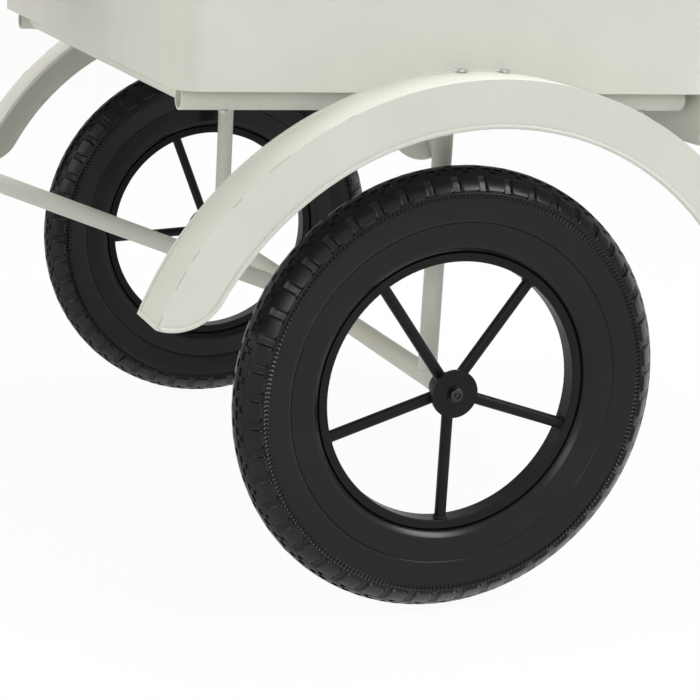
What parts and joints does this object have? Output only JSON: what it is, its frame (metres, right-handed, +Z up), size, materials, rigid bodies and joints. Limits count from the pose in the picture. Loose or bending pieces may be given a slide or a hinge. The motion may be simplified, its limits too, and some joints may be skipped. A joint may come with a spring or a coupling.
{
  "type": "tricycle display stand",
  "caption": "Cream metal tricycle display stand with black spoked wheels, arched fenders, a steered front wheel, saddle, and open trays that carry goods or plants.",
  "frame": {"origin": "on the ground, below the middle of the stand's box", "axes": "+X to the rear along the stand's length, -Y to its left side, +Z up"},
  "size_m": [1.4055, 0.7148, 0.7666],
  "materials": {
    "cream_paint": "semi-gloss cream powder coat",
    "black_paint": "satin black powder coat",
    "tyre": "moulded black foam rubber",
    "bush_nylon": "black nylon",
    "grip_rubber": "moulded black rubber",
    "saddle_plastic": "grained black plastic",
    "black_steel": "blackened steel",
    "bright_steel": "zinc-plated steel"
  },
  "bodies": {
    "frame": {"rear_axle_tube": "cream_paint", "rear_spindles": "bright_steel", "rear_axle_washers": "black_steel", "rear_axle_screws": "black_steel", "left_upright": "cream_paint", "right_upright": "cream_paint", "left_tray_rail": "cream_paint", "right_tray_rail": "cream_paint", "tray_crossbars": "cream_paint", "backbone_tube": "cream_paint", "head_tube": "cream_paint", "headset_bushes": "bush_nylon", "seat_tube": "cream_paint", "seat_post": "bright_steel", "seat_collar": "black_steel", "saddle": "saddle_plastic", "saddle_plate": "cream_paint", "upper_tray": "cream_paint", "lower_tray": "cream_paint", "tray_screws": "bright_steel", "tray_joining_screws": "bright_steel", "left_fender": "cream_paint", "right_fender": "cream_paint", "fender_brackets": "cream_paint", "fender_screws": "bright_steel"},
    "left_rear_wheel": {"left_rear_tyre": "tyre", "left_rear_rim": "black_paint", "left_rear_spokes": "black_paint", "left_rear_hub": "black_paint", "left_rear_hub_bushes": "bush_nylon"},
    "right_rear_wheel": {"right_rear_tyre": "tyre", "right_rear_rim": "black_paint", "right_rear_spokes": "black_paint", "right_rear_hub": "black_paint", "right_rear_hub_bushes": "bush_nylon"},
    "steering": {"fork_blades": "cream_paint", "fork_ends": "black_steel", "fork_crown": "cream_paint", "steerer_tube": "cream_paint", "lock_collar": "black_steel", "stem": "black_steel", "handlebar": "cream_paint", "left_grip": "grip_rubber", "right_grip": "grip_rubber"},
    "front_wheel": {"front_tyre": "tyre", "front_rim": "black_paint", "front_spokes": "black_paint", "front_hub": "black_paint", "front_hub_bushes": "bush_nylon", "front_axle": "bright_steel", "front_axle_spacers": "black_steel", "front_axle_nuts": "black_steel", "cranks": "black_steel", "pedal_pins": "bright_steel"},
    "left_pedal": {"left_pedal_frame": "black_steel", "left_pedal_pads": "grip_rubber"},
    "right_pedal": {"right_pedal_frame": "black_steel", "right_pedal_pads": "grip_rubber"}
  },
  "joints": [
    {"name": "left_rear_wheel_spin", "type": "hinge", "parent": "frame", "child": "left_rear_wheel", "pos_m": [0.23925, -0.318, 0.182], "axis": [0, 1, 0], "continuous": true},
    {"name": "right_rear_wheel_spin", "type": "hinge", "parent": "frame", "child": "right_rear_wheel", "pos_m": [0.23925, 0.318, 0.182], "axis": [0, 1, 0], "continuous": true},
    {"name": "steering_turn", "type": "hinge", "parent": "frame", "child": "steering", "pos_m": [-0.52075, 0, 0.182], "axis": [0.309, 0, 0.9511], "range_deg": [-40, 40]},
    {"name": "front_wheel_spin", "type": "hinge", "parent": "steering", "child": "front_wheel", "pos_m": [-0.52075, 0, 0.182], "axis": [0, 1, 0], "continuous": true},
    {"name": "left_pedal_spin", "type": "hinge", "parent": "front_wheel", "child": "left_pedal", "pos_m": [-0.52075, -0.0893, 0.097], "axis": [0, 1, 0], "continuous": true},
    {"name": "right_pedal_spin", "type": "hinge", "parent": "front_wheel", "child": "right_pedal", "pos_m": [-0.52075, 0.0893, 0.267], "axis": [0, 1, 0], "continuous": true}
  ]
}
